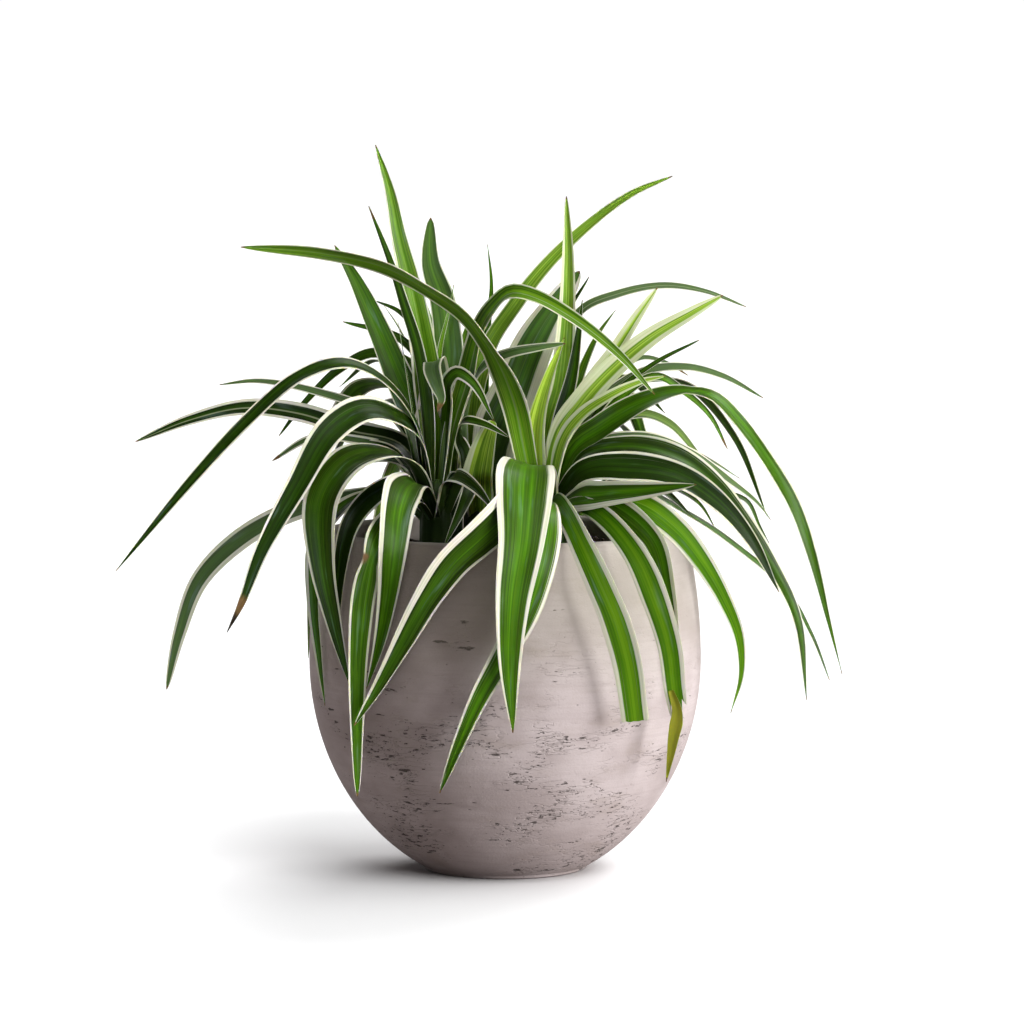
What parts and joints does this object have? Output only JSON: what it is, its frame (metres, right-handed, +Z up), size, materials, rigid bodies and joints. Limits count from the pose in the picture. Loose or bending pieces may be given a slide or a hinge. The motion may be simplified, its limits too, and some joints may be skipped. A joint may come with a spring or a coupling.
{
  "type": "potted spider plant",
  "caption": "Spider plant with long, arching, cream-edged leaves in a round stone-look pot filled with dark soil.",
  "frame": {"origin": "middle of the pot's foot, on the surface that the pot stands on", "axes": "+Z up along the pot's axis; the side with the longest hanging leaves faces -Y; +X is to the right seen from that side"},
  "size_m": [0.3599, 0.2772, 0.3692],
  "materials": {
    "pot": "matt, pale grey-pink washed stone with fine level streaks and dark pits",
    "soil": "dark, crumbly, slightly damp soil",
    "leaf": "satin green leaf with cream edges and fine lengthwise stripes"
  },
  "bodies": {
    "root": {"pot": "pot", "soil": "soil", "rosette_left": "leaf", "rosette_right": "leaf", "rosette_middle": "leaf", "rosette_back_left": "leaf", "rosette_back_right": "leaf"}
  },
  "joints": []
}
